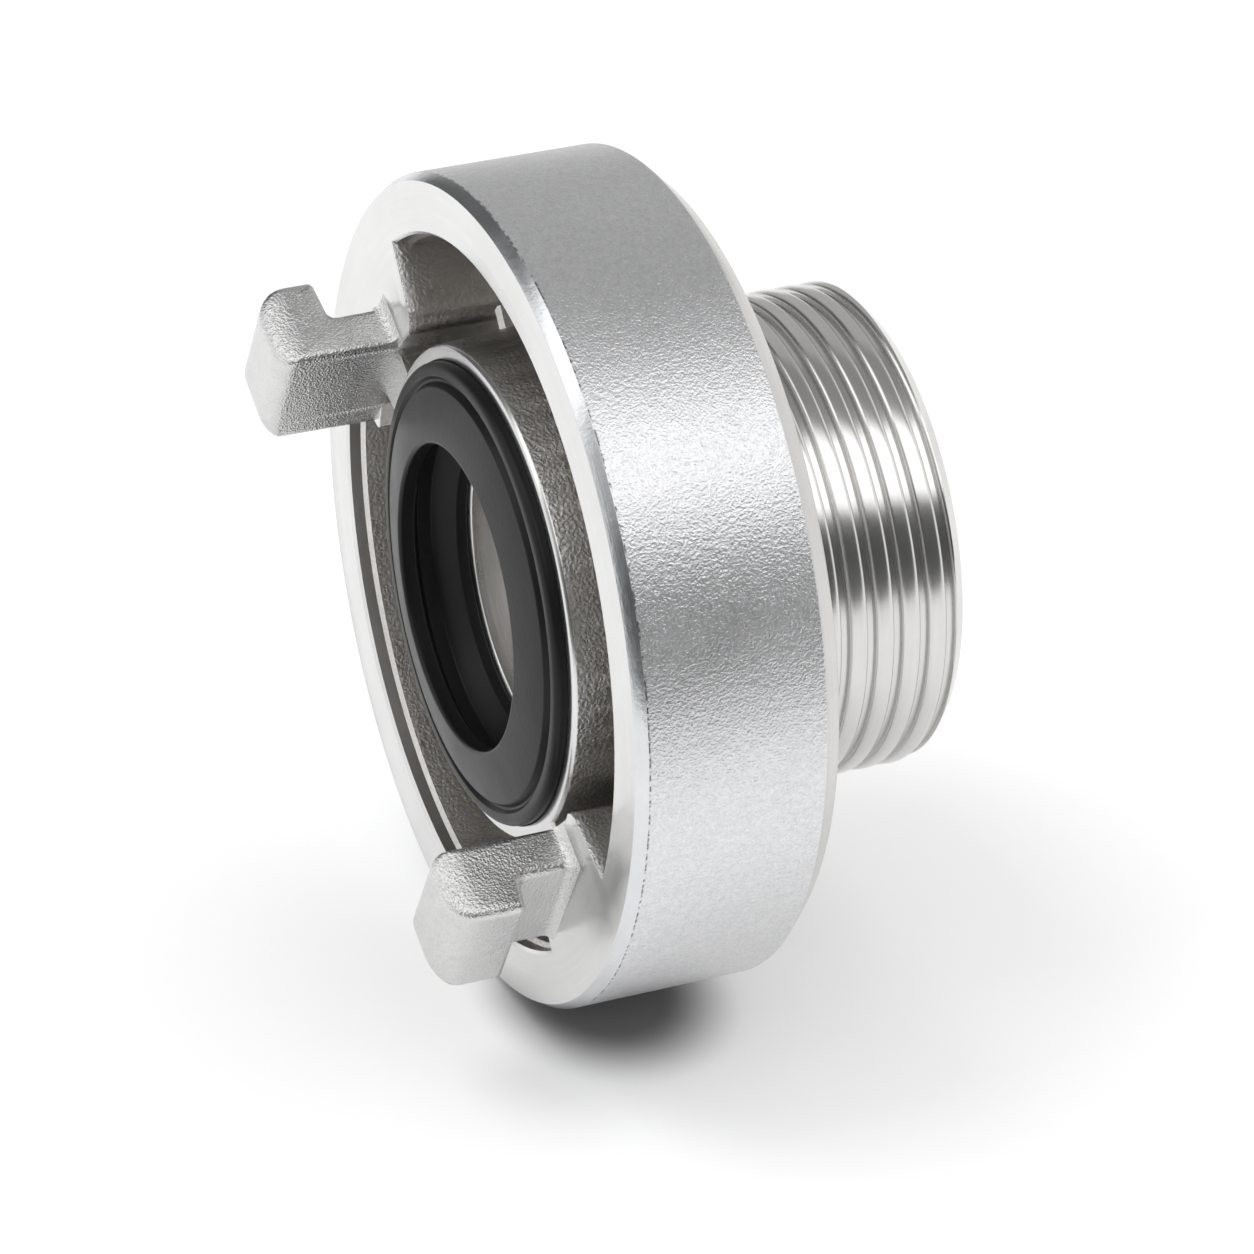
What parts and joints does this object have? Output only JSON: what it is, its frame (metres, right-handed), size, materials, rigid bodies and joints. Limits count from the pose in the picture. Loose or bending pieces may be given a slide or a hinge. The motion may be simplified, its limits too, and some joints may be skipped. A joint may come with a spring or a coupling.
{
  "type": "storz adapter",
  "caption": "Fixed hose coupling half: round forged body with hooked claws, annular slots, rubber face seal and a male pipe thread at the back.",
  "frame": {"origin": "centre of the thread's end face, on the common axis; the part stands on that end", "axes": "+Z along the common axis towards the coupling face; +X towards one claw-bearing lip and -X towards the other; -Y towards the middle of the slot that faces the camera in the picture"},
  "size_m": [0.1014, 0.1014, 0.0677],
  "materials": {
    "body": "satin blasted forging with bright turned faces, bores and thread",
    "seal": "matte moulded"
  },
  "bodies": {
    "root": {"body": "body", "seal": "seal"}
  },
  "joints": []
}
